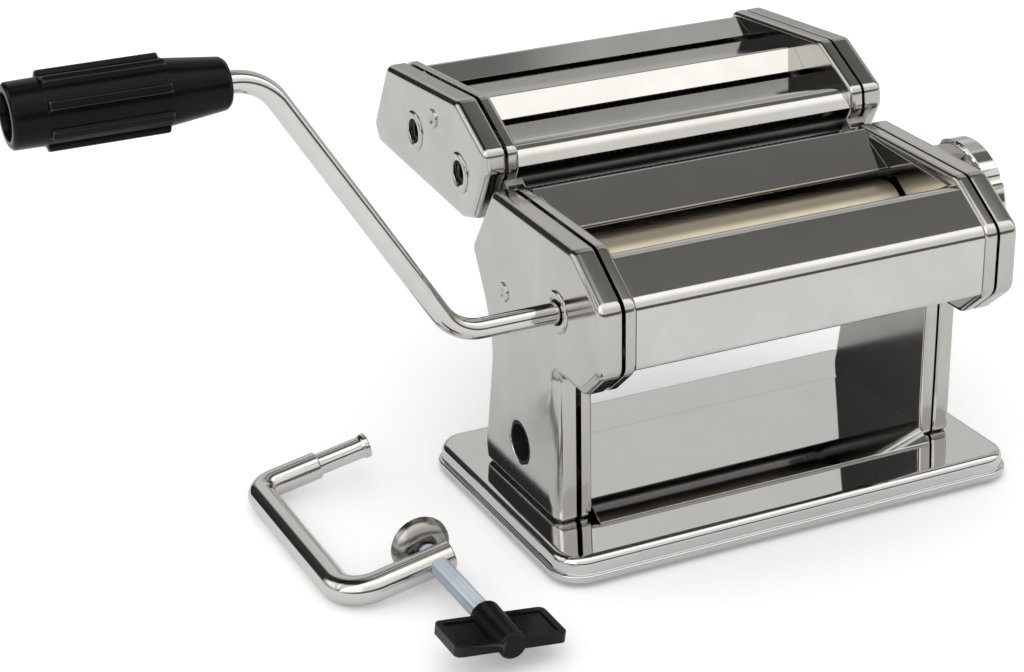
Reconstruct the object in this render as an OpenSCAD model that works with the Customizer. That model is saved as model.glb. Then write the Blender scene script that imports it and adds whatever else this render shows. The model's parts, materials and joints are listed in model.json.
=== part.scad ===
// Hand cranked pasta machine: two smooth rollers in a pressed steel body, a clip-on cutter head
// with two pairs of cutting rolls, a crank and a loose table clamp. Millimetres, +Z up, +X along
// the rollers to the thickness knob, -Y the front. The table is at z = 0.

/* [Base] */
// Length of the base tray along the rollers
base_length = 206; // [202:1:210]
// Width of the base tray from front to back
base_width = 124; // [120:1:130]
// Height of the tray's top face above the table
base_top = 12; // [11:0.5:14]
// Corner radius of the tray seen from above
base_corner = 12; // [9:1:16]
// Radius of each rubber foot
foot_radius = 8; // [6:0.5:9]

/* [Body] */
// Clear width between the two side frames, the length of the front panel
throat = 153; // [150:1:156]
// Thickness of the pressed sheet
sheet = 1; // [0.8:0.1:1.2]
// Depth of the side frames' flange
frame_depth = 5; // [4.6:0.1:5.2]
// Open seam between a side frame and its outer cover
seam = 0.8; // [0.4:0.1:1]
// Depth of the outer covers
cover_depth = 9.7; // [9:0.1:10.2]
// Radius of the covers' outer edge
cover_edge = 3.25; // [2:0.25:4]
// Radius of the tie rods
tie_radius = 3.5; // [3:0.25:3.75]

/* [Rollers] */
// Diameter of the smooth rollers
roller_diameter = 27.8; // [27.4:0.1:28]
// Height of the roller axes above the tray
roller_height = 91.1; // [90.5:0.1:91.6]
// Front roller axis, measured from the middle of the base
front_roller_y = -34.7; // [-35.2:0.1:-34.4]
// Widest gap between the rollers, dial at its first step
widest_gap = 2.5; // [2.4:0.1:2.8]
// How far the rear roller closes over the whole dial
closing_travel = 2.1; // [1.5:0.1:2.2]
// Radius of the roller shafts
shaft_radius = 5.5; // [5.3:0.1:5.7]
// Face width of the roller gears
gear_face = 6.8; // [5:0.2:7]

/* [Thickness knob] */
// Radius of the knob's rim
knob_radius = 25; // [22:0.5:26]
// Depth of the knob's rim
knob_rim = 11; // [9:0.5:13]
// Length of the knob's neck, from its flange to the rim
knob_neck = 11; // [9:0.5:13]
// Radius of the circle of index holes
index_radius = 17; // [16.5:0.25:17.5]
// Distance the knob is pulled to free its index pin
knob_pull = 3; // [2.6:0.1:3.2]

/* [Crank] */
// Radius of the crank's bent rod
crank_rod = 4; // [3.6:0.1:4.2]
// Reach of the crank's first straight part, from the middle of the machine
crank_reach = 133.5; // [131:0.5:140]
// Length of the crank's slanted arm
arm_length = 128.125; // [124.375:0.625:130]
// Length of the grip
grip_length = 75; // [70:1:90]
// Radius of the grip's ribbed middle
grip_radius = 13.5; // [12.5:0.25:14.5]

/* [Cutter head] */
// Distance between the two rolls of a cutting pair
cutter_centres = 21; // [20.9:0.05:21.2]
// Radius of the cutting discs
disc_radius = 11; // [10.8:0.05:11]
// Pitch of the wide cutting discs
wide_pitch = 6.5; // [6:0.25:7]
// Pitch of the narrow cutting discs
narrow_pitch = 3; // [2.8:0.2:3.6]

/* [Table clamp] */
// Radius of the clamp's bent rod
clamp_rod = 5.75; // [5.5:0.05:6]
// Length of the clamp's spine, arm axis to arm axis
clamp_spine = 99; // [94:1:104]
// Length of the upper arm
upper_arm = 50; // [47:1:53]
// Length of the lower arm to the screw
lower_arm = 36.6; // [35:0.2:38]
// Radius of the clamp screw's crest
screw_radius = 4; // [3.6:0.1:4.2]
// Radius of the pressure cup
cup_radius = 12; // [11:0.25:12.4]
// Half the span of the wing knob
wing_half = 22; // [19:0.5:24]

/* [Hidden] */
$fn = 48;

// stations across the machine
web_in = throat / 2;
web_out = web_in + sheet;
frame_rim = web_in + frame_depth;
cover_rim = frame_rim + seam;
cover_out = cover_rim + cover_depth;
cover_in = cover_out - sheet;
running = 0.05;
sliding = 0.2;
foot_screw = 1.5;
foot_nut = 2.6;
foot_screw_x = cover_out - cover_edge - foot_nut;
foot_screw_y = 16;
gear_x0 = frame_rim - 0.3;
gear_x1 = min(gear_x0 + gear_face, cover_in - 0.6);
shaft_end = cover_in - 0.4;
roller_end = web_in - 2.5;
block_out = gear_x0 - 0.5;
block_in = web_in - 1.9;
block_front = 8.5;
block_back = 12;
block_half = 7.5;
bar_low = roller_height - 21.1;

// side outline above the tray: y, z and corner radius, going round from the front foot
// the head of the outline is set off from the height of the roller axes
function by_rollers(y, z, r = 0) = [y, roller_height + z, r];
cheek = [[-33.5, 0, 3.3], [32.5, 0, 3.3], [33.8, 8, 6], by_rollers(25.5, -37.5, 30), by_rollers(31.2, -20.2, 12),
  by_rollers(42.6, 0.3, 4.5), by_rollers(22.5, 29.4, 3.5), by_rollers(-46.5, 28.4, 7), by_rollers(-69.5, 12.9, 7),
  by_rollers(-69.5, -13.6, 7), by_rollers(-55, -26.5, 5), by_rollers(-33.5, -26.1, 4)];
cheek_even = [for (c = cheek) 1];
// the covers roll over further along the front of the leg
cheek_roll = [for (i = [0 : len(cheek) - 1]) i == len(cheek) - 1 ? 2.2 : 1];

// roller positions
roller_radius = roller_diameter / 2;
rear_roller_y = front_roller_y + roller_diameter + widest_gap;
bush_radius = shaft_radius + 2.5;

// regulator: a flat spiral groove moves the carriage evenly with the dial
dial_steps = 9;
dial_step = 32;
dial_turn = dial_steps * dial_step;
follower_radius = 1.5;
groove_half = follower_radius + 0.3;
groove_far = 9.4;
groove_rate = closing_travel / dial_turn;
scroll_radius = 14;
scroll_in = block_out + 2.6;
scroll_out = cover_in - 1.4;
dial_shaft = 6;
dial_hex = 5;
knob_back = cover_out + knob_pull + 0.2;
knob_flange = 3;
rim_back = knob_back + knob_neck;
knob_face = rim_back + knob_rim;
recess_floor = knob_back + 6.5;
recess_radius = 7.2;
screw_x = recess_floor + 6.4;
index_pin = 1.5;

// crank
key = 1.39 * crank_rod;
socket = key + 0.3;
arm_cos = 0.5376;
arm_sin = 0.8432;
crank_lean = arm_length * arm_cos;
crank_throw = arm_length * arm_sin;
arm_x = crank_reach + crank_lean;
crank_bend = 19.375;
grip_start = arm_x + 12;
grip_end = grip_start + grip_length;
spindle = crank_rod - 1;
rib_start = grip_start + 0.29 * grip_length;
rib_end = grip_end - 0.155 * grip_length;
rib_width = 3.6;

// rear slope that the cutter head slides on
slope_foot = [cheek[5].x, cheek[5].y];
slope_run = [cheek[6].x, cheek[6].y] - slope_foot;
slope_dir = slope_run / norm(slope_run);
slope_out = [slope_dir.y, -slope_dir.x];
rail_x = web_in + frame_depth / 2;

// cutting rolls: all four lie on a line that rises to the back, narrow pair first
tilt = 5.5;
head_up = 16.92;
head_off = 23.36;
pair_gap = 1.6;
pair_line = [cos(tilt), sin(tilt)];
narrow_axis = slope_foot + head_up * slope_dir + head_off * slope_out;
narrow_mate_axis = narrow_axis + cutter_centres * pair_line;
wide_axis = narrow_mate_axis + (2 * disc_radius + pair_gap) * pair_line;
wide_mate_axis = wide_axis + cutter_centres * pair_line;
groove_radius = cutter_centres - disc_radius - 0.4;
roll_half = web_in - 5.5;
wide_gear_x = gear_x0;
narrow_gear_x = gear_x0 + 3.5;
cutter_gear_face = 2.9;

// cutter head outline and its sheets, set off from the roll that each corner goes round
function by_narrow(y, z, r = 0) = [narrow_axis.x + y, narrow_axis.y + z, r];
function by_wide(y, z, r = 0) = [wide_axis.x + y, wide_axis.y + z, r];
head = [by_narrow(-13.2, -15.6, 3.5), by_narrow(-0.7, -19.2, 6), by_wide(40.1, -17.5, 5),
  by_wide(45.4, -9.4, 5), by_wide(28.9, 20.5, 4.5), by_narrow(1.8, 29.4, 6), by_narrow(-24.2, 15.4, 5),
  by_narrow(-25.2, 6.9, 6)];
head_even = [for (c = head) 1];
head_rear_path = [by_wide(39.4, -14.5), by_wide(43.6, -9.3, 3), by_wide(26.8, 19.1, 3), by_wide(12.8, 13.7)];
head_ridge_path = [by_wide(8, 13.1), by_wide(-22.9, 17.7, 1.5), by_narrow(12.7, 14.2)];
head_front_path = [by_narrow(8.3, 13.2), by_narrow(-19.2, 15, 9), by_narrow(-23.6, 7.2)];
head_ties = [by_wide(-12.1, -12.7), by_narrow(-15.2, -1.6)];
head_rivet = by_narrow(24.5, 15.4);
rivet_shank = 1.8;

// clamp as it lies beside the machine
clamp_at = [-182, -37.5, clamp_rod];
clamp_tilt = 10.8;
cup_back = 8.2;
cup_depth = 6;
screw_pitch = 1.25;
wing_from = -44.3;
wing_to = -69.5;
wing_turn = 17.9;
wing_blade = 21;
wing_hub = 6.1;
wing_thick = 4;
wing_border = 2.6;
clamp_end = 7;
clamp_hole = [0.1, 21.6];
clamp_hole_radius = 7.6;

function unit(v) = v / norm(v);
function edge_out(c, i) = let (a = c[i], b = c[(i + 1) % len(c)], d = unit([b.x - a.x, b.y - a.y]))
  [d.y, -d.x];
function signed_turn(n1, n2) = atan2(cross(n1, n2), n1 * n2);
// outline drawn in by d, each edge weighted by w
function inset(c, w, d) = let (n = len(c)) [for (i = [0 : n - 1])
  let (h = (i + n - 1) % n, n1 = edge_out(c, h), n2 = edge_out(c, i), k = cross(n1, n2))
  let (d1 = d * w[h], d2 = d * w[i])
  [c[i].x + (d2 * n1.y - d1 * n2.y) / k, c[i].y + (d1 * n2.x - d2 * n1.x) / k,
    max(0.25, c[i][2] - sign(k) * (d1 + d2) / 2)]];
// points of an outline with its corners rounded
function rounded(c, step = 18) = let (n = len(c)) [for (i = [0 : n - 1])
  let (n1 = edge_out(c, (i + n - 1) % n), n2 = edge_out(c, i), turn = signed_turn(n1, n2))
  let (s = sign(turn), r = c[i][2], m = max(1, ceil(abs(turn) / step)))
  let (back = r * tan(abs(turn) / 2), a = atan2(n1.y, n1.x))
  let (centre = [c[i].x, c[i].y] - back * [-n1.y, n1.x] - s * r * n1)
  for (k = [0 : m]) centre + s * r * [cos(a + turn * k / m), sin(a + turn * k / m)]];
// one side of a bent strip: an open path moved to its left by d
function strip_side(p, d, step = 15) = let (n = len(p)) [for (i = [0 : n - 1])
  let (a = i > 0 ? unit([p[i].x - p[i - 1].x, p[i].y - p[i - 1].y]) : [0, 0])
  let (b = i < n - 1 ? unit([p[i + 1].x - p[i].x, p[i + 1].y - p[i].y]) : a)
  let (u = i > 0 ? a : b, turn = signed_turn(u, b), s = sign(turn), r = p[i][2])
  let (bend = i > 0 && i < n - 1 && abs(turn) > 1 && r > 0, m = bend ? ceil(abs(turn) / step) : 0)
  let (left = [-u.y, u.x], back = bend ? r * tan(abs(turn) / 2) : 0)
  let (centre = [p[i].x, p[i].y] - back * u + s * r * left, q = atan2(-s * left.y, -s * left.x))
  for (k = [0 : m]) bend ? centre + (r - s * d) * [cos(q + turn * k / m), sin(q + turn * k / m)]
    : [p[i].x, p[i].y] + d * left];
function strip(p, t) = let (far = strip_side(p, t))
  concat(strip_side(p, 0), [for (i = [len(far) - 1 : -1 : 0]) far[i]]);
// involute gear outline with thinned teeth
function flank(rb, r) = let (t = acos(min(1, rb / r))) tan(t) * 180 / PI - t;
function gear_points(m, z, tip, root, thin) = let (rp = m * z / 2, rb = rp * cos(20))
  let (half = 90 / z - thin / rp * 90 / PI, full = half + flank(rb, rp), steps = 4)
  [for (i = [0 : z - 1]) let (a = i * 360 / z)
    for (s = [-1, 1]) for (k = [-1 : steps])
      let (j = s < 0 ? k : steps - 1 - k, r = j < 0 ? root : rb + (tip - rb) * j / steps)
      let (w = full - (j < 0 ? 0 : flank(rb, r)))
      r * [cos(a + s * w), sin(a + s * w)]];

// side views are drawn as y, z and stand along X
module along_x(x0, x1) multmatrix([[0, 0, 1, x0], [1, 0, 0, 0], [0, 1, 0, 0]])
  linear_extrude(x1 - x0) children();
module rod_x(x0, x1, r, at = [0, 0]) translate([x0, at.x, at.y]) rotate([0, 90, 0])
  cylinder(h = x1 - x0, r = r);
module turned_x(at) translate([0, at.x, at.y]) rotate([0, 90, 0]) rotate_extrude() children();
module on_tray() translate([0, 0, base_top]) children();
module both_sides() { children(); mirror([1, 0, 0]) children(); }
module plate(points, x0, x1) along_x(x0, x1) polygon(points);

// closed ring of sheet that follows an outline: section points are inset and height
module rim(c, w, section) {
  rings = [for (s = section) let (p = rounded(inset(c, w, s[0]))) [for (q = p) [q.x, q.y, s[1]]]];
  n = len(rings[0]);
  m = len(rings);
  polyhedron(points = [for (r = rings) for (p = r) p], faces = [for (j = [0 : m - 1])
    for (i = [0 : n - 1]) let (a = j * n + i, b = j * n + (i + 1) % n)
    let (c1 = ((j + 1) % m) * n + i, d1 = ((j + 1) % m) * n + (i + 1) % n)
    for (f = [[a, c1, d1], [a, d1, b]]) f], convexity = 6);
}

// pressed pan: open at height 0, closed at the given depth
module pan(c, w, depth, edge) {
  arc = [for (a = [0 : 30 : 90]) [edge * (1 - cos(a)), depth - edge + edge * sin(a)]];
  rim(c, w, concat([[0, 0]], arc, [[edge, depth - sheet], [sheet, depth - edge], [sheet, 0]]));
  translate([0, 0, depth - sheet]) linear_extrude(sheet) polygon(rounded(inset(c, w, edge)));
}
// the same with square edges
module tray_pan(c, depth) {
  linear_extrude(sheet) polygon(rounded(c));
  linear_extrude(depth) difference() {
    polygon(rounded(c));
    polygon(rounded(inset(c, [for (q = c) 1], sheet)));
  }
}
module stand_x(x) multmatrix([[0, 0, 1, x], [1, 0, 0, 0], [0, 1, 0, 0]]) children();

module base_plate() color("silver") {
  l = base_length / 2;
  b = base_width / 2;
  ring = [[-l, -b, base_corner], [l, -b, base_corner], [l, b, base_corner], [-l, b, base_corner]];
  even = [1, 1, 1, 1];
  top = base_top;
  difference() {
    union() {
      rim(ring, even, [[-1.5, 2.5], [-1.5, 5], [0, 6], [0, top - 3], [0.88, top - 0.88], [3, top],
        [3, top - sheet], [sheet, top - 2.6], [sheet, 5.2], [-0.4, 4.2], [-0.4, 2.5]]);
      translate([0, 0, top - sheet]) linear_extrude(sheet) polygon(rounded(inset(ring, even, 3)));
    }
    both_sides() for (y = [-1, 1]) translate([foot_screw_x, y * foot_screw_y, 0])
      cylinder(h = 40, r = foot_screw + 0.1);
  }
}
module rubber_feet() color("black") both_sides() for (y = [-1, 1])
  translate([base_length / 2 - 15, y * (base_width / 2 - 14), 0]) {
    cylinder(h = 3, r = foot_radius);
    cylinder(h = base_top - sheet, r = foot_radius - 2);
  }
module base_screws() color("gray") both_sides() for (y = [-1, 1])
  translate([foot_screw_x, y * foot_screw_y, base_top]) {
    translate([0, 0, -sheet - 2]) cylinder(h = 2, r = foot_nut);
    translate([0, 0, -sheet - 1]) cylinder(h = 2 * sheet + 3, r = foot_screw);
    translate([0, 0, sheet]) cylinder(h = 2.4, r = foot_nut, $fn = 6);
  }

// inner side frame, drawn for the right side with its flange outward
module side_frame() on_tray() difference() {
  stand_x(web_in) tray_pan(cheek, frame_depth);
  rod_x(web_in - 1, web_in + 3, bush_radius, [front_roller_y, roller_height]);
  translate([web_in - 1, rear_roller_y - block_front - closing_travel - 0.3, roller_height - block_half - sliding])
    cube([4, block_front + block_back + closing_travel + 0.6, 2 * (block_half + sliding)]);
  for (t = ties) rod_x(web_in - 1, web_in + 3, 2.5, t);
}
ties = [[12.3, roller_height - 9.3], [-58, roller_height - 9.1]];
tie_reach = web_in + 4.4;
module right_frame() color("silver") side_frame();
module left_frame() color("silver") difference() {
  mirror([1, 0, 0]) side_frame();
  on_tray() rod_x(-web_in - 3, -web_in + 1, clamp_hole_radius + 1, clamp_hole);
}

// outer cover, drawn for the right side with its open side inward
module side_cover() on_tray() difference() {
  stand_x(cover_rim) pan(cheek, cheek_roll, cover_depth, cover_edge);
  for (y = [-1, 1]) translate([foot_screw_x, y * foot_screw_y, -1]) cylinder(h = 4, r = foot_screw + 0.1);
}
module left_cover() color("gainsboro") difference() {
  mirror([1, 0, 0]) side_cover();
  on_tray() rod_x(-cover_out - 1, -cover_in + 3, eyelet_neck, [front_roller_y, roller_height]);
  on_tray() rod_x(-cover_out - 1, -cover_in + 3, clamp_hole_radius + 1, clamp_hole);
  on_tray() rod_x(-cover_out - 1, -cover_in + 3, 2.5, ties[0]);
}
module right_cover() color("gainsboro") difference() {
  side_cover();
  on_tray() rod_x(cover_in - 3, cover_out + 1, dial_shaft + running, [rear_roller_y, roller_height]);
  on_tray() for (i = [0 : dial_steps]) rod_x(cover_in - 3, cover_out + 1, index_pin + 0.3,
    [rear_roller_y, roller_height] + index_radius * [cos(-90 + i * dial_step), sin(-90 + i * dial_step)]);
}

front_path = [by_rollers(-39.9, 16.4), by_rollers(-46, 27.32, 6), by_rollers(-68.4, 12.3, 7),
  by_rollers(-68.4, -14.5, 2.5), by_rollers(-60.4, -14.5)];
module front_panel() color("lightgray") on_tray() plate(strip(front_path, sheet), -web_in, web_in);
rear_path = [by_rollers(29.2, -18.1), by_rollers(41, 0.5, 4), by_rollers(22.4, 27.3)];
module rear_panel() color("lightgray") on_tray() plate(strip(rear_path, sheet), -web_in, web_in);
guide_path = [by_rollers(20.4, 23.9), by_rollers(18.4, 29.7, 1.6), by_rollers(-3.4, 18.9)];
module dough_guide() color("dimgray") on_tray() plate(strip(guide_path, sheet), -web_in, web_in);
hopper_side = [[-43.5, 23.9], [12.4, 27.7], [-3.4, 19.8], [-5.4, 18.1], [-19.5, 8.9]];
module hopper_sides() color("gray") on_tray() both_sides() translate([0, 0, roller_height])
  plate(hopper_side, web_in - 1.2, web_in);

module tie_rods() color("gray") on_tray() for (i = [0, 1]) {
  rod_x(-web_in, web_in, tie_radius, ties[i]);
  rod_x(i == 0 ? -cover_out - 0.5 : -tie_reach, tie_reach, 2.5, ties[i]);
  if (i == 0) rod_x(-cover_out - 0.9, -cover_out, 4.25, ties[i]);
}
module tie_nuts() color("gray") on_tray() both_sides() for (t = ties) difference() {
  translate([web_out, t.x, t.y]) rotate([0, 90, 0]) cylinder(h = 2.6, r = 4, $fn = 6);
  rod_x(web_out - 1, web_out + 4, 2.5, t);
}
module roller_bushes() color("ivory") on_tray() both_sides() difference() {
  union() {
    rod_x(web_in - 1.9, block_out, bush_radius, [front_roller_y, roller_height]);
    rod_x(web_out, block_out, bush_radius + 1.5, [front_roller_y, roller_height]);
  }
  rod_x(web_in - 3, web_in + 9, shaft_radius + running, [front_roller_y, roller_height]);
}
eyelet_lip = 0.8;
eyelet_bore = 5;
eyelet_neck = 6.5;
eyelet_flange = 8.5;
module eyelet(at) difference() {
  union() {
    rod_x(-cover_out - eyelet_lip, -cover_out, eyelet_flange, at);
    rod_x(-cover_out - eyelet_lip / 2, -cover_in, eyelet_neck, at);
  }
  rod_x(-cover_out - 2, -cover_in + 1, eyelet_bore, at);
}
module crank_eyelet() color("silver") on_tray() eyelet([front_roller_y, roller_height]);
module clamp_bush() color("black") on_tray() difference() {
  rod_x(-cover_out + 0.4, -web_in + 0.6, clamp_hole_radius + 1, clamp_hole);
  rod_x(-cover_out - 1, -web_in + 2, clamp_hole_radius, clamp_hole);
}
scraper_path = [by_rollers(-54, -19.7), by_rollers(-46, -19.7, 3), by_rollers(-41.4, -12.9)];
scraper_sheet = 0.8;
module front_scraper() color("silver") on_tray()
  plate(strip(scraper_path, scraper_sheet), -web_in, web_in);

// T rails on the rear slope, and a stop for the cutter head
module on_slope() on_tray() multmatrix([[0, 0, 1, 0], [slope_dir.x, slope_out.x, 0, slope_foot.x],
  [slope_dir.y, slope_out.y, 0, slope_foot.y]]) children();
module cutter_rails() color("gray") both_sides() on_slope() {
  translate([12, 0, rail_x - 1.2]) cube([18, 2, 2.4]);
  translate([12, 1.6, rail_x - 3]) cube([18, 1, 6]);
  translate([12, 0, rail_x - 3]) cube([3.8, 2.6, 6]);
}

module square_key(x0, x1, across, at) translate([x0, at.x - across / 2, at.y - across / 2])
  cube([x1 - x0, across, across]);
module driven_roll(at) difference() {
  children();
  square_key(-shaft_end - 1, -shaft_end + 21, socket, at);
}
front_at = [front_roller_y, roller_height];
rear_at = [rear_roller_y, roller_height];
module front_roller() color("wheat") on_tray() driven_roll(front_at) union() {
  rod_x(-roller_end, roller_end, roller_radius, front_at);
  rod_x(-shaft_end, block_out, shaft_radius, front_at);
}
module toothed(at, m, z, tip, root, thin, x0, x1, turn, bore) difference() {
  translate([0, at.x, at.y]) rotate([turn, 0, 0]) plate(gear_points(m, z, tip, root, thin), x0, x1);
  rod_x(x0 - 1, x1 + 1, bore, at);
}
module front_gear() color("gray") on_tray()
  toothed(front_at, 2, 14, 16.1, 11.6, 0.35, -gear_x1, -gear_x0, 0, shaft_radius);
module rear_gear() color("gray") on_tray()
  toothed(rear_at, 2, 14, 16.1, 11.6, 0.35, -gear_x1, -gear_x0, 180 / 14, shaft_radius);
module rear_roller() color("wheat") on_tray() {
  rod_x(-roller_end, roller_end, roller_radius, rear_at);
  rod_x(-shaft_end, block_out, shaft_radius, rear_at);
}

// carriage: a bearing block at each end of the rear roller, tied by a bar under it
module roller_carriage() color("ivory") on_tray() {
  difference() {
    union() {
      both_sides() {
        translate([block_in, rear_roller_y - block_front, roller_height - block_half])
          cube([block_out - block_in, block_front + block_back, 2 * block_half]);
        translate([block_in, 2, bar_low]) cube([1.6, 5, roller_height - block_half + 1 - bar_low]);
      }
      translate([-block_in - 0.5, 2, bar_low]) cube([2 * block_in + 1, 5, 4]);
    }
    rod_x(-web_in - 9, web_in + 9, shaft_radius + running, rear_at);
  }
  rod_x(block_out - 1, scroll_in + 2.2, follower_radius, rear_at + [groove_far, 0]);
}
module rear_scraper() color("silver") on_tray()
  translate([0, 0, roller_height]) plate([[3.2, -17.1], [4, -17.1], [3.6, -12.9], [2.8, -13.2]],
    3 - roller_end, roller_end - 3);

// regulator shaft and its spiral groove
function groove_at(a) = groove_far + groove_rate * a;
function groove_side(o) = [for (a = [-dial_turn - 24 : 6 : 24])
  (groove_at(a) + o) * [cos(a), sin(a)]];
groove_points = let (b = groove_side(groove_half)) concat(groove_side(-groove_half),
  [for (i = [len(b) - 1 : -1 : 0]) b[i]]);
module at_dial() on_tray() translate([0, rear_at.x, rear_at.y]) children();
module regulator_shaft() color("gray") at_dial() {
  difference() {
    rod_x(scroll_in, scroll_out, scroll_radius);
    plate(groove_points, scroll_in - 1, scroll_in + 2.6);
  }
  rod_x(scroll_out - 1, cover_out + 0.1, dial_shaft);
  translate([cover_out, 0, 0]) rotate([0, 90, 0])
    cylinder(h = screw_x - cover_out, r = dial_hex, $fn = 6);
}
module knob_screw() color("silver") at_dial() difference() {
  rod_x(screw_x, screw_x + 2.5, 6.4);
  translate([screw_x + 1.5, -8, -0.6]) cube([2, 16, 1.2]);
}
module knob() color("silver") at_dial() {
  difference() {
    rotate([0, 90, 0]) rotate_extrude() polygon([[2, knob_back], [index_radius + 3, knob_back],
      [index_radius + 3, knob_back + knob_flange], [14, knob_back + 4.5], [13.5, rim_back - 1],
      [knob_radius - 2, rim_back], [knob_radius, rim_back + 1.5], [knob_radius, knob_face - 2],
      [knob_radius - 2, knob_face], [10, knob_face + 0.01], [2, knob_face + 0.01]]);
    translate([cover_out, 0, 0]) rotate([0, 90, 0]) cylinder(h = 40, r = dial_hex + 0.2, $fn = 6);
    rod_x(recess_floor, knob_face + 2, recess_radius);
    for (i = [0 : 3]) rod_x(rim_back - 2, knob_face + 2, 5,
      (knob_radius + 2) * [cos(55 + 90 * i), sin(55 + 90 * i)]);
  }
  rod_x(cover_out + 0.5, knob_back + 1, index_pin, index_radius * [0, -1]);
}
module knob_spring() color("gray") at_dial() {
  turns = 3;
  wire = 0.5;
  n = 16;
  x0 = recess_floor + wire;
  x1 = screw_x - wire;
  m = turns * n;
  ring = [for (k = [0 : 5]) [cos(k * 60), sin(k * 60)]];
  points = [for (i = [0 : m]) let (a = i * 360 / n, x = x0 + (x1 - x0) * i / m)
    for (q = ring) [x + wire * q.y, (6.3 + wire * q.x) * cos(a), (6.3 + wire * q.x) * sin(a)]];
  sides = [for (i = [0 : m - 1]) for (k = [0 : 5]) let (a = i * 6 + k, b = i * 6 + (k + 1) % 6)
    for (f = [[a, a + 6, b + 6], [a, b + 6, b]]) f];
  ends = [[0, 1, 2, 3, 4, 5], [for (k = [5 : -1 : 0]) m * 6 + k]];
  polyhedron(points = points, faces = concat(sides, ends), convexity = 8);
}

// bent round rod in the plane of its first two axes: corners carry their bend radius
module bent_rod(path, r) for (i = [0 : len(path) - 2]) {
  a = path[i];
  b = path[i + 1];
  d = unit([b.x - a.x, b.y - a.y]);
  before = i == 0 ? d : unit([a.x - path[i - 1].x, a.y - path[i - 1].y]);
  after = i == len(path) - 2 ? d : unit([path[i + 2].x - b.x, path[i + 2].y - b.y]);
  bend = signed_turn(d, after);
  cut_a = a[2] * tan(abs(signed_turn(before, d)) / 2);
  cut_b = b[2] * tan(abs(bend) / 2);
  start = [a.x, a.y] + cut_a * d;
  stop = [b.x, b.y] - cut_b * d;
  translate([start.x, start.y, 0]) rotate([0, 0, atan2(d.y, d.x)]) rotate([0, 90, 0])
    cylinder(h = norm(stop - start), r = r);
  if (abs(bend) > 1) {
    s = sign(bend);
    centre = stop + s * b[2] * [-d.y, d.x];
    translate([centre.x, centre.y, 0]) rotate([0, 0, atan2(-s * d.x, s * d.y) + (s > 0 ? 0 : bend)])
      rotate_extrude(angle = abs(bend)) translate([b[2], 0]) circle(r);
  }
}
module crank() color("silver") on_tray() translate([0, front_at.x, front_at.y]) {
  rotate([90, 0, 0]) {
    bent_rod([[-shaft_end - 0.2, 0, 0], [-crank_reach, 0, crank_bend],
      [-arm_x, crank_throw, crank_bend], [-grip_start, crank_throw, 0]], crank_rod);
    translate([-grip_end + 4, crank_throw, 0]) rotate([0, 90, 0])
      cylinder(h = grip_end - grip_start - 3, r = spindle);
  }
  square_key(-cover_in - 2, -shaft_end + 19, key, [0, 0]);
}
module at_grip() on_tray() translate([0, front_at.x, front_at.y + crank_throw]) children();
module grip() color("black") at_grip() difference() {
  union() {
    rotate([0, -90, 0]) rotate_extrude() polygon([[1, grip_start], [grip_radius - 5.8, grip_start],
      [grip_radius - 4.4, grip_start + 1.4], [grip_radius - 2, rib_start], [grip_radius - 1.7, rib_start],
      [grip_radius - 1.7, rib_end], [grip_radius - 2.1, rib_end + 0.4], [grip_radius - 2.3, grip_end - 1.2],
      [grip_radius - 3.5, grip_end], [1, grip_end]]);
    for (i = [0 : 7]) rotate([22 + 45 * i, 0, 0]) translate([-rib_end, -rib_width / 2, grip_radius - 4])
      cube([rib_end - rib_start, rib_width, 4]);
  }
  rod_x(-grip_end - 1, -grip_start + 1, spindle + running);
  rod_x(-grip_end - 1, -grip_end + 6, 6.5);
}
module grip_washer() color("silver") at_grip() difference() {
  rod_x(-grip_end + 4.2, -grip_end + 5.8, 5.5);
  rod_x(-grip_end, -grip_end + 8, spindle);
}

// cutter head
module cutter_plate() on_tray() difference() {
  stand_x(web_in) tray_pan(head, frame_depth);
  for (a = cutter_axes) rod_x(web_in - 1, web_in + 3, bush_radius, a);
  for (t = head_ties) rod_x(web_in - 1, web_in + 3, 2.5, t);
  rod_x(web_in - 1, web_in + 3, rivet_shank, head_rivet);
}
cutter_axes = [wide_axis, wide_mate_axis, narrow_axis, narrow_mate_axis];
module cutter_right_plate() color("silver") cutter_plate();
module cutter_left_plate() color("silver") mirror([1, 0, 0]) cutter_plate();
module cutter_cap() on_tray() difference() {
  stand_x(cover_rim) pan(head, head_even, cover_depth, cover_edge);
  rod_x(cover_in - 3, cover_out + 1, rivet_shank, head_rivet);
}
module cutter_right_cap() color("gainsboro") cutter_cap();
module cutter_left_cap() color("gainsboro") difference() {
  mirror([1, 0, 0]) cutter_cap();
  on_tray() for (a = [wide_axis, narrow_axis]) rod_x(-cover_out - 1, -cover_in + 3, eyelet_neck, a);
}
module head_sheet(path) on_tray() plate(strip(path, sheet), -web_in, web_in);
module cutter_rear_panel() color("lightgray")
  head_sheet(head_rear_path);
module cutter_ridge_panel() color("lightgray")
  head_sheet(head_ridge_path);
module cutter_front_panel() color("lightgray")
  head_sheet(head_front_path);
module cutter_tie_rods() color("gray") on_tray() for (a = head_ties) {
  rod_x(-web_in, web_in, tie_radius, a);
  rod_x(-web_in - 3, web_in + 3, 2.5, a);
  both_sides() rod_x(web_out, web_out + 2, 4, a);
}
module cutter_rivets() color("silver") on_tray() both_sides() {
  rod_x(web_in - 1, web_in, 3.5, head_rivet);
  rod_x(web_in - 0.5, cover_out + 0.5, rivet_shank, head_rivet);
  rod_x(cover_out, cover_out + 0.9, 4, head_rivet);
}
module cutter_bushes() color("ivory") on_tray() both_sides() for (a = cutter_axes) difference() {
  union() {
    rod_x(web_in - 1.9, block_out, bush_radius, a);
    rod_x(web_out, block_out, bush_radius + 1, a);
  }
  rod_x(web_in - 3, web_in + 9, shaft_radius + running, a);
}
module cutter_eyelets() color("silver") on_tray() for (a = [wide_axis, narrow_axis]) eyelet(a);
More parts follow.
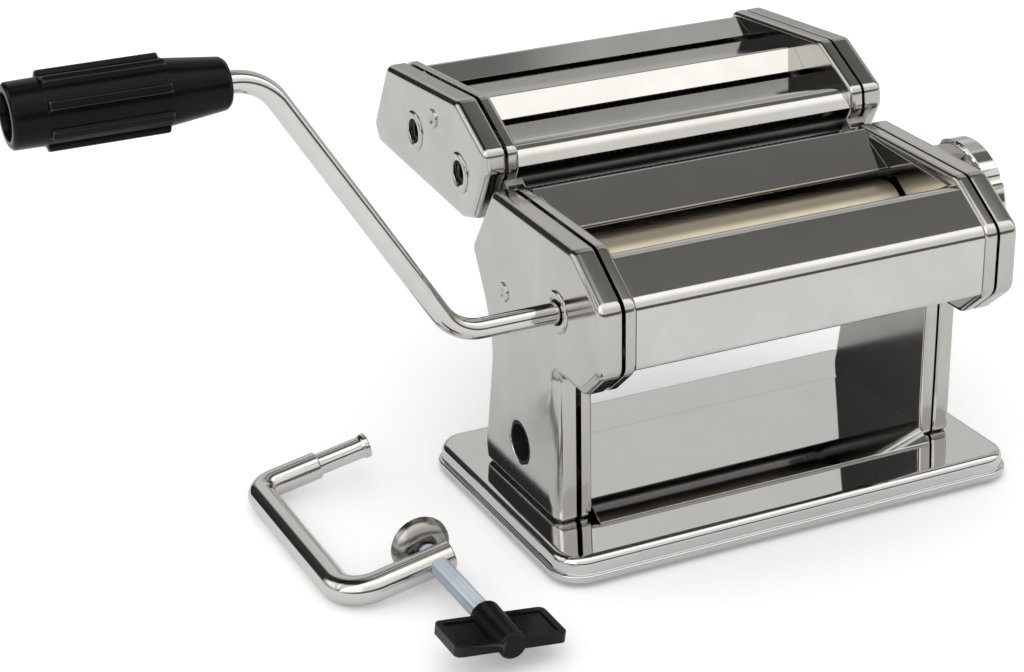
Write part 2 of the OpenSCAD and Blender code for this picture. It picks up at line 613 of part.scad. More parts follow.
// hooks: a slotted block under each end of the head's front face
module cutter_hooks() color("gray") both_sides() on_slope() difference() {
  translate([0, 0, rail_x - 4]) linear_extrude(8) polygon([for (s = [16, 32]) [s, 0.6],
    for (s = [32, 16]) [s, front_gap(s)]]);
  translate([10, -1, rail_x - 1.5]) cube([30, 3, 3]);
  translate([10, 1.3, rail_x - 3.3]) cube([30, 1.6, 6.6]);
}
function slope_place(p) = [(p - slope_foot) * slope_dir, (p - slope_foot) * slope_out];
face_low = slope_place([head[0].x, head[0].y]);
face_high = slope_place([head[7].x, head[7].y]);
function front_gap(s) = face_low.y + (s - face_low.x) / (face_high.x - face_low.x) * (face_high.y - face_low.y);

// scraper bars beside each cutting roll
module cutter_combs() color("gray") on_tray() {
  below = [sin(tilt), -cos(tilt)];
  for (k = [0, 1]) let (drive = k == 0 ? wide_axis : narrow_axis, mate = drive + cutter_centres * pair_line)
    for (q = [[drive, 1], [mate, -1]])
      let (tip = q[0] + (disc_radius + 0.5) * unit(below * 0.9 + pair_line * q[1] * 0.25))
      let (foot = tip + 5 * below - 2 * q[1] * pair_line, side = q[1] * 0.6 * pair_line)
      plate(q[1] > 0 ? [tip - side, foot - side, foot + side, tip + side]
        : [tip + side, foot + side, foot - side, tip - side], -web_in, web_in);
}
// discs along a roll: the mate's discs stand in the other's grooves
function disc_profile(pitch, first, gap) = let (half = pitch / 2 - gap,
  n = floor((2 * roll_half - first - half) / pitch))
  concat([[0, -roll_half], [groove_radius, -roll_half]], [for (i = [0 : n])
    let (x = -roll_half + first + i * pitch) for (p = [[groove_radius, x], [disc_radius, x],
    [disc_radius, x + half], [groove_radius, x + half]]) p], [[groove_radius, roll_half], [0, roll_half]]);
module cutting_roll(at, pitch, mate) {
  turned_x(at) polygon(disc_profile(pitch, 1 + (mate ? pitch / 2 : 0), pitch * 0.06));
  rod_x(-web_in - 3, block_out, shaft_radius, at);
}
module gear_shaft(at, x1) rod_x(block_out - 1, x1, shaft_radius - 1.5, at);
module wide_drive_roll() color("silver") on_tray() driven_roll(wide_axis) union() {
  cutting_roll(wide_axis, wide_pitch, false);
  rod_x(-shaft_end, 0, shaft_radius, wide_axis);
  gear_shaft(wide_axis, wide_gear_x + cutter_gear_face);
}
module wide_mate_roll() color("silver") on_tray() {
  cutting_roll(wide_mate_axis, wide_pitch, true);
  gear_shaft(wide_mate_axis, wide_gear_x + cutter_gear_face);
}
module narrow_drive_roll() color("silver") on_tray() driven_roll(narrow_axis) union() {
  cutting_roll(narrow_axis, narrow_pitch, false);
  rod_x(-shaft_end, 0, shaft_radius, narrow_axis);
  gear_shaft(narrow_axis, narrow_gear_x + cutter_gear_face);
}
module narrow_mate_roll() color("silver") on_tray() {
  cutting_roll(narrow_mate_axis, narrow_pitch, true);
  gear_shaft(narrow_mate_axis, narrow_gear_x + cutter_gear_face);
}
module cutter_gear(at, x0, turn) color("gray") on_tray()
  toothed(at, 1.5, 14, 11.7, 8.6, 0.4, x0, x0 + cutter_gear_face, turn, shaft_radius - 1.5);
module wide_drive_gear() cutter_gear(wide_axis, wide_gear_x, tilt);
module wide_mate_gear() cutter_gear(wide_mate_axis, wide_gear_x, tilt + 180 / 14);
module narrow_drive_gear() cutter_gear(narrow_axis, narrow_gear_x, tilt);
module narrow_mate_gear() cutter_gear(narrow_mate_axis, narrow_gear_x, tilt + 180 / 14);

// table clamp, drawn flat: first axis along the arms, second along the spine
module lying() translate(clamp_at) rotate([0, -clamp_tilt, 0]) children();
module along_screw(from, to, r) translate([lower_arm, from, 0]) rotate([-90, 0, 0])
  cylinder(h = to - from, r = r);
module clamp_frame() color("silver") lying() difference() {
  union() {
    bent_rod([[lower_arm + clamp_end, 0, 0], [0, 0, 13], [0, clamp_spine, 8], [upper_arm * 0.55, clamp_spine, 0]],
      clamp_rod);
    translate([upper_arm * 0.5, clamp_spine, 0]) rotate([0, 90, 0])
      cylinder(h = upper_arm * 0.5, r = clamp_rod - 1.2);
    translate([upper_arm - 2, clamp_spine, 0]) rotate([0, 90, 0]) cylinder(h = 2, r = clamp_rod - 0.5);
  }
  along_screw(-20, 20, screw_radius + 0.1);
}
module turned_on_screw() translate([lower_arm, 0, 0]) rotate([-90, 0, 0]) rotate_extrude() children();
module clamp_cup() color("dimgray") lying() turned_on_screw() polygon([[screw_radius - 0.9, cup_back],
  [6, cup_back], [cup_radius - 2, cup_back + 3], [cup_radius, cup_back + cup_depth],
  [cup_radius - 1.4, cup_back + cup_depth], [cup_radius - 4, cup_back + 4.6], [5, cup_back + 3],
  [screw_radius - 0.9, cup_back + 3]]);
module clamp_screw() color("lightsteelblue") lying() turned_on_screw() {
  depth = 0.65;
  turns = floor((cup_back - 1.2 - wing_from) / screw_pitch);
  last = wing_from + turns * screw_pitch;
  polygon(concat([[0, wing_from], [screw_radius - depth, wing_from]], [for (i = [0 : turns - 1])
    for (p = [[screw_radius, wing_from + (i + 0.4) * screw_pitch],
      [screw_radius, wing_from + (i + 0.6) * screw_pitch],
      [screw_radius - depth, wing_from + (i + 1) * screw_pitch]]) p],
    [[screw_radius - 1, last], [screw_radius - 1, cup_back + 3], [screw_radius, cup_back + 3],
      [screw_radius - 0.6, cup_back + 4.6], [0, cup_back + 4.6]]));
}
module clamp_wing() color("black") lying() {
  turned_on_screw() polygon([[0, wing_to], [wing_hub - 1.6, wing_to], [wing_hub - 0.7, wing_to + 1],
    [wing_hub, wing_from - 1], [wing_hub - 1, wing_from], [0, wing_from]]);
  translate([lower_arm, wing_to + 1, 0]) rotate([0, wing_turn, 0]) difference() {
    translate([-wing_half, 0, -wing_thick / 2]) linear_extrude(wing_thick) polygon(rounded([[0, 0, 2.5],
      [2 * wing_half, 0, 2.5], [2 * wing_half, wing_blade, 2.5], [0, wing_blade, 2.5]]));
    for (side = [-wing_half + wing_border, wing_hub + 1]) for (z = [-wing_thick, wing_thick / 2 - 0.6])
      translate([side, wing_border, z])
        cube([wing_half - wing_hub - wing_border - 1, wing_blade - 2 * wing_border, wing_thick / 2 + 0.6]);
  }
}

base_plate();
rubber_feet();
base_screws();
left_frame();
right_frame();
left_cover();
right_cover();
front_panel();
rear_panel();
dough_guide();
hopper_sides();
tie_rods();
tie_nuts();
roller_bushes();
crank_eyelet();
clamp_bush();
front_scraper();
cutter_rails();
front_roller();
front_gear();
crank();
grip();
grip_washer();
roller_carriage();
rear_scraper();
rear_roller();
rear_gear();
regulator_shaft();
knob_screw();
knob();
knob_spring();
cutter_left_cap();
cutter_right_cap();
cutter_left_plate();
cutter_right_plate();
cutter_rear_panel();
cutter_ridge_panel();
cutter_front_panel();
cutter_tie_rods();
cutter_rivets();
cutter_bushes();
cutter_eyelets();
cutter_hooks();
cutter_combs();
wide_drive_roll();
wide_drive_gear();
wide_mate_roll();
wide_mate_gear();
narrow_drive_roll();
narrow_drive_gear();
narrow_mate_roll();
narrow_mate_gear();
clamp_frame();
clamp_cup();
clamp_screw();
clamp_wing();
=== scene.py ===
import json
import math

import bmesh
import bpy
from mathutils import Matrix, Vector


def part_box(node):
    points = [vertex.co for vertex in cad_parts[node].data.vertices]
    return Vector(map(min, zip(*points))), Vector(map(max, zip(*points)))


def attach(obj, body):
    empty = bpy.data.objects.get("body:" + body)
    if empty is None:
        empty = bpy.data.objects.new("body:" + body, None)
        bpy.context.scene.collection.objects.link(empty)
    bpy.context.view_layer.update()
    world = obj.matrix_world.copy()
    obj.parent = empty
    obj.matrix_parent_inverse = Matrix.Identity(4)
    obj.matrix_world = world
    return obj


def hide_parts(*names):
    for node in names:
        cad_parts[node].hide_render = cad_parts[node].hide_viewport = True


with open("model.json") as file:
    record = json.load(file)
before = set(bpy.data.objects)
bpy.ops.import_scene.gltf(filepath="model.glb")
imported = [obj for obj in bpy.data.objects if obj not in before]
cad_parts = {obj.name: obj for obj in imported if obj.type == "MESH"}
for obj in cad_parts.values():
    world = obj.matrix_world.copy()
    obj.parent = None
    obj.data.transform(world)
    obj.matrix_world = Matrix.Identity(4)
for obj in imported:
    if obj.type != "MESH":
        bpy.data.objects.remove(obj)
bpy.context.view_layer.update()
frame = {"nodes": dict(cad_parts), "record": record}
mm = 0.001
bodyOf = {n: b for b, names in frame["record"]["behaviour"]["bodies"].items() for n in names}
slotOf = {s["node"]: s["material_slot"] for s in frame["record"]["subparts"]}
made = set()  # nodes that have their piece
print("frame loaded:", len(bodyOf), "nodes")


class Wire:  # a socket that can be used in sums
    def __init__(self, tree, socket=None):
        self.tree, self.socket = tree, socket

    def add(self, kind, settings=None, inputs=None, out=0):  # any other node
        node = self.tree.nodes.new("ShaderNode" + kind)
        for key, value in (settings or {}).items():
            setattr(node, key, value)
        for key, value in (inputs or {}).items():
            if isinstance(value, Wire):
                self.tree.links.new(value.socket, node.inputs[key])
            else:
                node.inputs[key].default_value = value
        return Wire(self.tree, node.outputs[out])

    def calc(self, operation, a, b):
        return self.add("Math", {"operation": operation}, {0: a, 1: b})

    def __add__(self, other):
        return self.calc("ADD", self, other)

    def __sub__(self, other):
        return self.calc("SUBTRACT", self, other)

    def __rsub__(self, other):
        return self.calc("SUBTRACT", other, self)

    def __mul__(self, other):
        return self.calc("MULTIPLY", self, other)

    def __neg__(self):
        return self.calc("SUBTRACT", 0, self)

    __radd__ = __add__
    __rmul__ = __mul__

    def noise(self, scale, detail=3, rough=0.55):  # even cloud, 0 to 1
        return self.add("TexNoise", {}, {"Vector": self, "Scale": scale, "Detail": detail,
                                         "Roughness": rough})

    def stretched(self, along):  # drawn out along an axis
        return self.add("VectorMath", {"operation": "MULTIPLY"}, {0: self, 1: along})

    def band(self, low, high):  # 0 below low, 1 above high
        return self.add("MapRange", {"clamp": True}, {"Value": self, "From Min": low, "From Max": high})

    def tint(self, first, second):  # self picks between two colours
        first, second = [c if isinstance(c, Wire) else (*c, 1) for c in (first, second)]
        return self.add("Mix", {"data_type": "RGBA"}, {0: self, 6: first, 7: second}, out=2)

    def relief(self, strength, distance, under=None):  # self as a height, over another normal
        inputs = {"Height": self, "Strength": strength, "Distance": distance}
        if under:
            inputs["Normal"] = under
        return self.add("Bump", {}, inputs, out="Normal")


def startMaterial(name):
    material = bpy.data.materials.new(name)
    material.use_nodes = True
    wire = Wire(material.node_tree)
    shader = material.node_tree.nodes["Principled BSDF"]
    return material, shader, wire, wire.add("TexCoord", out="Object")


def link(wire, shader, **sockets):
    for name, value in sockets.items():
        wire.tree.links.new(value.socket, shader.inputs[name.replace("_", " ")])


grainDepth, swellDepth = 0.2 * mm, 4 * mm  # heights of the fine and the slow relief
steelMarks = dict(cloud=34, lines=160, specks=900, scratch=40, swell=11)  # noise scales
steels = {  # colour, cloudy colour, roughness, its spread, drawn lines, their direction, two reliefs
    "satinSteel": dict(colour=(0.53, 0.515, 0.495), cloud=(0.47, 0.455, 0.435), rough=0.125, spread=0.05,
                       lines=0.03, along=(30, 3, 3), bump=0.004, wave=0.05),
    "mirrorSteel": dict(colour=(0.64, 0.638, 0.63), cloud=(0.60, 0.598, 0.59), rough=0.03, spread=0.025,
                        lines=0.015, along=(3, 40, 40), bump=0.004, wave=0.04),
    "panelSteel": dict(colour=(0.62, 0.61, 0.585), cloud=(0.56, 0.55, 0.525), rough=0.075, spread=0.05,
                       lines=0.02, along=(3, 40, 40), bump=0.015, wave=0.05),
    "chromeRod": dict(colour=(0.68, 0.67, 0.65), cloud=(0.60, 0.59, 0.57), rough=0.06, spread=0.05,
                      lines=0.02, along=(3, 30, 30), bump=0.015, wave=0.02),
    "rollerNickel": dict(colour=(0.60, 0.54, 0.42), cloud=(0.52, 0.46, 0.35), rough=0.34, spread=0.08,
                         lines=0.05, along=(60, 2, 2), bump=0.04, wave=0.02,
                         # hollow: painted shade, a darker colour where ambient occlusion finds the roller
                         # enclosed
                         hollow=dict(reach=0.12, dark=0.18, light=0.55, colour=(0.02, 0.018, 0.015))),
    "gearSteel": dict(colour=(0.40, 0.39, 0.37), cloud=(0.26, 0.25, 0.23), rough=0.34, spread=0.14,
                      lines=0.05, along=(40, 4, 4), bump=0.08, wave=0.02),
    "zincScrew": dict(colour=(0.44, 0.48, 0.53), cloud=(0.33, 0.36, 0.40), rough=0.32, spread=0.10,
                      lines=0.04, along=(10, 10, 10), bump=0.05, wave=0.02),
    # painted shade: near-black colour for the cutter rolls and combs, which sit in the head's shade
    "paintedShadeSteel": dict(colour=(0.13, 0.125, 0.12), cloud=(0.09, 0.086, 0.08), rough=0.36, spread=0.10,
                      lines=0.05, along=(40, 4, 4), bump=0.06, wave=0.02),
    "darkCup": dict(colour=(0.44, 0.43, 0.405), cloud=(0.32, 0.31, 0.29), rough=0.2, spread=0.12,
                    lines=0.04, along=(10, 10, 10), bump=0.06, wave=0.04),
}
steels["traySteel"] = dict(steels["mirrorSteel"], spring=dict(start=40 * mm, stop=60 * mm, rise=0.7 * mm))


def makeSteel(name, look):
    material, shader, wire, place = startMaterial(name)
    cloud = place.noise(steelMarks["cloud"], 4, 0.6)  # handling marks, about 30 mm
    lines = place.stretched(look["along"]).noise(steelMarks["lines"])  # drawing lines
    specks = place.noise(steelMarks["specks"], 2).band(0.62, 0.72)  # fine dull specks
    scratch = place.stretched((6, 90, 34)).noise(steelMarks["scratch"], 2).band(0.70, 0.74)
    swell = place.noise(steelMarks["swell"], 1)  # slow swell of pressed sheet
    colour = cloud.band(0.3, 0.7).tint(look["colour"], look["cloud"])
    if "hollow" in look:  # painted shade: the colour darkens where little light gets in
        hollow = look["hollow"]
        daylight = wire.add("AmbientOcclusion", {"samples": 8}, {"Distance": hollow["reach"]}, out="AO")
        colour = daylight.band(hollow["dark"], hollow["light"]).tint(hollow["colour"], colour)
    rough = cloud * look["spread"] + lines * look["lines"] + specks * 0.006 + scratch * 0.03
    normal = swell.relief(look["wave"], swellDepth, lines.relief(look["bump"], grainDepth))
    if "spring" in look:  # the sheet rises a little to its front edge
        spring = look["spring"]
        front = -wire.add("SeparateXYZ", {}, {0: place}, out="Y")
        normal = (front.band(spring["start"], spring["stop"]) * spring["rise"]).relief(1, 1, normal)
    link(wire, shader, Base_Color=colour, Normal=normal,
         Roughness=rough + (look["rough"] - look["spread"] / 2))
    shader.inputs["Metallic"].default_value = 1
    return material


plasticMarks = dict(cloud=60, scuff=120)  # noise scales
plastics = {  # colour, worn colour, colour of the painted highlight on edges, roughness, grain and its relief, gloss
    "gripBlack": dict(colour=(0.002, 0.002, 0.0024), worn=(0.006, 0.006, 0.0063),
                      paintedHighlight=(0.13, 0.13, 0.134), rough=0.2, grain=1500, bump=0.06, gloss=0.12),
    "wingBlack": dict(colour=(0.003, 0.0032, 0.0035), worn=(0.008, 0.008, 0.008),
                      paintedHighlight=(0.045, 0.046, 0.048), rough=0.26, grain=1200, bump=0.10, gloss=0.16),
    # painted shade: near-black sleeve colour stands in for the shade inside the clamp hole
    "paintedShadeSleeve": dict(colour=(0.006, 0.006, 0.006), worn=(0.012, 0.012, 0.012),
                        paintedHighlight=(0.02, 0.02, 0.02), rough=0.6, grain=900, bump=0.1, gloss=0.3),
    "footRubber": dict(colour=(0.02, 0.02, 0.02), worn=(0.05, 0.05, 0.048),
                       paintedHighlight=(0.06, 0.06, 0.06), rough=0.72, grain=700, bump=0.25, gloss=0.3),
    "bushNylon": dict(colour=(0.70, 0.66, 0.56), worn=(0.56, 0.52, 0.43),
                      paintedHighlight=(0.74, 0.70, 0.60), rough=0.48, grain=600, bump=0.06, gloss=0.3),
}


def makePlastic(name, look):
    material, shader, wire, place = startMaterial(name)
    cloud = place.noise(plasticMarks["cloud"], 4, 0.6)
    scuff = place.stretched((1, 5, 5)).noise(plasticMarks["scuff"]).band(0.60, 0.78)
    grain = place.noise(look["grain"], 2)
    paintedHighlight = wire.add("NewGeometry", out="Pointiness").band(0.53, 0.62)  # painted highlight: sharp edges get a lighter colour
    colour = (cloud.band(0.35, 0.75) * 0.6 + scuff * 0.4).tint(look["colour"], look["worn"])
    link(wire, shader, Base_Color=paintedHighlight.tint(colour, look["paintedHighlight"]),
         Roughness=cloud * 0.14 + scuff * 0.10 + (look["rough"] - 0.07),
         Normal=grain.relief(look["bump"], grainDepth))
    shader.inputs["Specular IOR Level"].default_value = look["gloss"]
    return material


finishes = {name: makeSteel(name, look) for name, look in steels.items()}
finishes.update({name: makePlastic(name, look) for name, look in plastics.items()})
slotFinish = {"polished": "mirrorSteel", "satin": "satinSteel", "sheet": "panelSteel",
              "roller": "rollerNickel", "steel": "gearSteel", "bush": "bushNylon",
              "rubber": "footRubber", "black": "gripBlack", "zinc": "zincScrew"}
ownFinish = {  # nodes that look unlike the rest of their slot
    "traySteel": ["base_plate"],
    "chromeRod": ["crank", "clamp_frame", "knob"],
    "panelSteel": ["front_panel", "dough_guide", "cutter_front_panel", "cutter_ridge_panel",
                   "cutter_rear_panel"],
    "satinSteel": ["tie_rods", "cutter_rivets", "crank_eyelet", "cutter_eyelets"],
    # painted shade: rolls and combs coloured dark for the shade they sit in
    "paintedShadeSteel": ["cutter_combs", "cutter_tie_rods", "wide_drive_roll", "wide_mate_roll",
                  "narrow_drive_roll", "narrow_mate_roll"],
    "wingBlack": ["clamp_wing"],
    "darkCup": ["clamp_cup"],
    # painted shade: the clamp bush is coloured near black for the shade in its hole
    "paintedShadeSleeve": ["clamp_bush"],
}
nodeFinish = {node: finish for finish, nodes in ownFinish.items() for node in nodes}
print("finishes made:", len(finishes))


def finishOf(node):
    return finishes[nodeFinish.get(node, slotFinish[slotOf[node]])]


def placePiece(name, bm, node, sharp=32, added=False):  # an added piece rides beside its node
    mesh = bpy.data.meshes.new(name)
    bm.to_mesh(mesh)
    bm.free()
    mesh.polygons.foreach_set("use_smooth", [True] * len(mesh.polygons))
    mesh.set_sharp_from_angle(angle=math.radians(sharp))
    mesh.materials.append(finishOf(node))
    piece = bpy.data.objects.new(name, mesh)
    bpy.context.scene.collection.objects.link(piece)
    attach(piece, bodyOf[node])
    if not added:
        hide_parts(node)
        made.add(node)
    return piece


def placeSolid(name, bm, node, sharp=32):  # closed shape, with its faces turned outwards
    bmesh.ops.recalc_face_normals(bm, faces=bm.faces)
    return placePiece(name, bm, node, sharp)


def placeShell(name, bm, node, sheet, outside):  # open pressing, with its wall on the inside
    bmesh.ops.recalc_face_normals(bm, faces=bm.faces)
    if sum(f.calc_area() * f.normal.dot(outside) for f in bm.faces) < 0:
        bmesh.ops.reverse_faces(bm, faces=bm.faces)
    piece = placePiece(name, bm, node)
    wall = piece.modifiers.new("sheetWall", "SOLIDIFY")
    wall.thickness, wall.offset = sheet * mm, -1
    evenShading(piece)


def evenShading(piece):
    weigh = piece.modifiers.new("evenNormals", "WEIGHTED_NORMAL")
    weigh.keep_sharp, weigh.weight = True, 80


def soften(bm, corner, width, segments=2):  # rounds edges, width in mm
    bmesh.ops.bevel(bm, geom=corner, offset=width * mm, offset_type="OFFSET", segments=segments,
                    profile=0.5, affect="EDGES", clamp_overlap=True)


edges = {  # rounding of the CAD edges, in mm
    "default": 0.2, "knob": 0.7, "clamp_wing": 1.0, "rubber_feet": 0.6, "front_gear": 0.15,
    "rear_gear": 0.15, "cutter_rails": 0.15, "roller_carriage": 0.4, "front_roller": 0.4,
    "rear_roller": 0.4, "base_screws": 0.3, "left_frame": 0.4, "right_frame": 0.4,
    "cutter_left_plate": 0.4, "cutter_right_plate": 0.4,
}
rolled = {"left_frame": 2, "right_frame": 2, "cutter_left_plate": 2, "cutter_right_plate": 2}


def rollCorner(bm, radius):  # the pressed corner between a frame's web and its flange
    webX = min(abs(v.co.x) for v in bm.verts)
    flange = {f for f in bm.faces if max(v.co.x for v in f.verts) - min(v.co.x for v in f.verts) > 3 * mm}
    corner = [e for e in bm.edges if all(abs(abs(v.co.x) - webX) < 1e-6 for v in e.verts)
              and any(f in flange for f in e.link_faces)]
    soften(bm, corner, radius, 5)


def dressNode(node):  # the CAD shape with softened edges
    bm = bmesh.new()
    bm.from_mesh(frame["nodes"][node].data)
    bmesh.ops.remove_doubles(bm, verts=bm.verts, dist=1e-6)
    bmesh.ops.dissolve_limit(bm, angle_limit=math.radians(0.6), verts=bm.verts, edges=bm.edges)
    if node in rolled:
        rollCorner(bm, rolled[node])
    hard = [e for e in bm.edges if len(e.link_faces) == 2 and e.calc_face_angle(0) > math.radians(33)]
    soften(bm, hard, edges.get(node, edges["default"]))
    evenShading(placePiece(node + "_body", bm, node))


def outward(corners, i):  # outward normal of edge i
    a, b = corners[i], corners[(i + 1) % len(corners)]
    along = Vector((b[0] - a[0], b[1] - a[1])).normalized()
    return Vector((along.y, -along.x))


leastCorner = 0.25  # no drawn-in corner is sharper, in mm


def drawIn(corners, weights, depth):  # outline moved in by depth
    result = []
    for i, (y, z, radius) in enumerate(corners):
        n1, n2 = outward(corners, i - 1), outward(corners, i)
        k = n1.x * n2.y - n1.y * n2.x
        d1, d2 = depth * weights[i - 1], depth * weights[i]
        y += (d2 * n1.y - d1 * n2.y) / k
        z += (d1 * n2.x - d2 * n1.x) / k
        result.append((y, z, max(leastCorner, radius - math.copysign(1, k) * (d1 + d2) / 2)))
    return result


def roundOff(corners, step=5):  # points of an outline with rounded corners
    points = []
    for i, (y, z, radius) in enumerate(corners):
        n1, n2 = outward(corners, i - 1), outward(corners, i)
        turn = math.atan2(n1.x * n2.y - n1.y * n2.x, n1.dot(n2))
        sign = math.copysign(1, turn)
        parts = max(1, math.ceil(abs(math.degrees(turn)) / step))
        reach, first = radius * math.tan(abs(turn) / 2), math.atan2(n1.y, n1.x)
        centre = Vector((y, z)) - reach * Vector((-n1.y, n1.x)) - sign * radius * n1
        for k in range(parts + 1):
            a = first + turn * k / parts
            points.append(centre + sign * radius * Vector((math.cos(a), math.sin(a))))
    return points


def fullTurn(count):
    return [2 * math.pi * k / count for k in range(count)]


def circlePoints(y, z, radius, count=40):
    return [Vector((y + radius * math.cos(a), z + radius * math.sin(a))) for a in fullTurn(count)]


def arcPoints(y, z, radius, start, stop, parts=7):  # angles in degrees
    turns = [math.radians(start + (stop - start) * k / parts) for k in range(parts + 1)]
    return [(y + radius * math.cos(a), z + radius * math.sin(a)) for a in turns]


def addRing(bm, points):
    return [bm.verts.new(p) for p in points]


def joinRings(bm, rings):
    for first, second in zip(rings, rings[1:]):
        count = len(first)
        for i in range(count):
            j = (i + 1) % count
            bm.faces.new((first[i], first[j], second[j], second[i]))


def addWeb(bm, border, holes):  # flat face inside a ring, with holes
    loops = []
    for ring in [border, *holes]:
        for i, v in enumerate(ring):
            pair = (v, ring[(i + 1) % len(ring)])
            loops.append(bm.edges.get(pair) or bm.edges.new(pair))
    bmesh.ops.triangle_fill(bm, edges=loops, use_beauty=True)


def pressPan(name, node, look, outline, weights, holes, side):
    bm = bmesh.new()
    edge, depth = look["edge"], look["depth"]

    def ring(height, points):  # height is counted from the seam
        x = side * (look["rim"] + height)
        return addRing(bm, [Vector((x, p.x, p.y + look["base"])) * mm for p in points])

    section = look["seam"] + [(edge - p, q) for p, q in arcPoints(0, depth - edge, edge, 0, 90, 10)]
    rings = [ring(height, roundOff(drawIn(outline, weights, inset))) for inset, height in section]
    joinRings(bm, rings)
    hems = []
    for y, z, radius, lip in holes:
        turns = [math.radians(15 * k) for k in range(7 if lip else 1)]  # a lip is rolled inwards
        shells = [ring(depth - lip * (1 - math.cos(a)),
                       circlePoints(y, z, radius + lip * (1 - math.sin(a)))) for a in turns]
        hems.append(shells[0])
        joinRings(bm, shells)
    addWeb(bm, rings[-1], hems)
    placeShell(name, bm, node, look["sheet"], Vector((side, 0, 0)))


def spin(bm, profile, origin, axis, count=48):  # profile is (along, radius) in mm
    axis = Vector(axis).normalized()
    across = axis.orthogonal().normalized()
    other = axis.cross(across)
    rings = []
    for along, radius in profile:
        centre = Vector(origin) * mm + axis * along * mm
        turns = fullTurn(count) if radius else [0]  # one point on the axis
        rings.append(addRing(bm, [centre + radius * mm * (across * math.cos(a) + other * math.sin(a))
                                  for a in turns]))
    for a, b in zip(rings, rings[1:]):
        for k in range(count):
            j = (k + 1) % count
            if len(a) == 1:
                bm.faces.new((a[0], b[j], b[k]))
            elif len(b) == 1:
                bm.faces.new((a[k], a[j], b[0]))
            else:
                bm.faces.new((a[k], a[j], b[j], b[k]))


def roundedProfile(corners, radius, steps=4):  # softens the corners of a turned profile
    result = [corners[0]]
    for before, here, after in zip(corners, corners[1:], corners[2:]):
        p, a, b = Vector(here), Vector(before), Vector(after)
        reach = min(radius, (a - p).length * 0.45, (b - p).length * 0.45)
        start, stop = p + (a - p).normalized() * reach, p + (b - p).normalized() * reach
        for k in range(steps + 1):
            t = k / steps
            result.append(tuple(start * (1 - t) ** 2 + p * 2 * t * (1 - t) + stop * t ** 2))
    return result + [corners[-1]]


def near(axis, y, z, radius=0):
    return (axis[0] + y, axis[1] + z, radius)


trayTop = 12  # upper face of the tray, from which the next heights count
cheek = [(-33.5, 0, 3.3), (32.5, 0, 3.3), (33.8, 8, 6), (25.5, 53.6, 30), (31.2, 70.9, 12),
         (42.6, 91.4, 4.5), (22.5, 120.5, 3.5), (-46.5, 119.5, 7), (-69.5, 104, 7), (-69.5, 77.5, 7),
         (-55, 64.6, 5), (-33.5, 65, 4)]  # y, z and corner radius
cheekRoll = [1] * 11 + [2.2]  # how far each edge is rolled; the front of the leg most
narrow, wide = (52.205, 118.598), (96.6, 122.873)  # axes of the crank sockets
capOutline = [near(narrow, -13.2, -15.6, 3.5), near(narrow, -0.7, -19.2, 6), near(wide, 40.1, -17.5, 5),
              near(wide, 45.4, -9.4, 5), near(wide, 28.9, 20.5, 4.5), near(narrow, 1.8, 29.4, 6),
              near(narrow, -24.2, 15.4, 5), near(narrow, -25.2, 6.9, 6)]
capRoll = [1] * 8
crankHole, dialAxis, tieHole = (-34.7, 91.1), (-4.4, 91.1), (12.3, 81.8)
capRivet = near(narrow, 24.5, 15.4)[:2]
clampHole = (0.1, 21.6, 8.62, 1.3)  # y, z, radius and lip
socketHole, rivetHole, tieNeck, dialHole = 6.5, 1.8, 2.5, 6.05
index = dict(circle=17, hole=1.8, first=-90, step=32, count=10)
indexHoles = [(dialAxis[0] + index["circle"] * math.cos(a), dialAxis[1] + index["circle"] * math.sin(a),
               index["hole"], 0)
              for a in (math.radians(index["first"] + index["step"] * k) for k in range(index["count"]))]
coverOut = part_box("right_cover")[1][0] / mm  # outer face of the covers
seamAt = 82.7  # where cover and frame meet
pans = dict(rim=seamAt, depth=coverOut - seamAt, edge=3.4, base=trayTop, sheet=1,
            seam=[(1.1, 0), (0.32, 0.32), (0, 1.1)])  # rolled rim: inset and height
pressPan("left_cover_skin", "left_cover", pans, cheek, cheekRoll,
         [(*crankHole, socketHole, 0), clampHole, (*tieHole, tieNeck, 0)], -1)
pressPan("right_cover_skin", "right_cover", pans, cheek, cheekRoll,
         [(*dialAxis, dialHole, 0)] + indexHoles, 1)
pressPan("left_cap_skin", "cutter_left_cap", pans, capOutline, capRoll,
         [(*wide, socketHole, 0), (*narrow, socketHole, 0), (*capRivet, rivetHole, 0)], -1)
pressPan("right_cap_skin", "cutter_right_cap", pans, capOutline, capRoll, [(*capRivet, rivetHole, 0)], 1)
print("covers and caps pressed")

tray = dict(length=206, width=124, corner=12, top=trayTop, fillet=3.4, sheet=1, lip=1.5, foot=2.5,
            bead=0.9, beadAt=4.3, groove=0.45, grooveAt=5.65)


def makeTray(look):
    l, b = look["length"] / 2, look["width"] / 2
    corners = [(x, y, look["corner"]) for x, y in ((-l, -b), (l, -b), (l, b), (-l, b))]
    lip, bead, groove, fillet = (look[k] for k in ("lip", "bead", "groove", "fillet"))
    section = [(-lip, look["foot"])]  # inset and height, up the wall
    section += [(-p, q) for p, q in arcPoints(lip - bead, look["beadAt"], bead, 0, 90)]
    section += arcPoints(-groove, look["grooveAt"], groove, -90, 0, 6)
    section += [(fillet - p, q) for p, q in arcPoints(0, look["top"] - fillet, fillet, 0, 90, 9)]
    bm = bmesh.new()
    rings = [addRing(bm, [Vector((p.x, p.y, height)) * mm
                          for p in roundOff(drawIn(corners, [1] * 4, inset))])
             for inset, height in section]
    joinRings(bm, rings)
    bm.faces.new(rings[-1])
    placeShell("tray_skin", bm, "base_plate", look["sheet"], Vector((0, 0, 1)))


makeTray(tray)

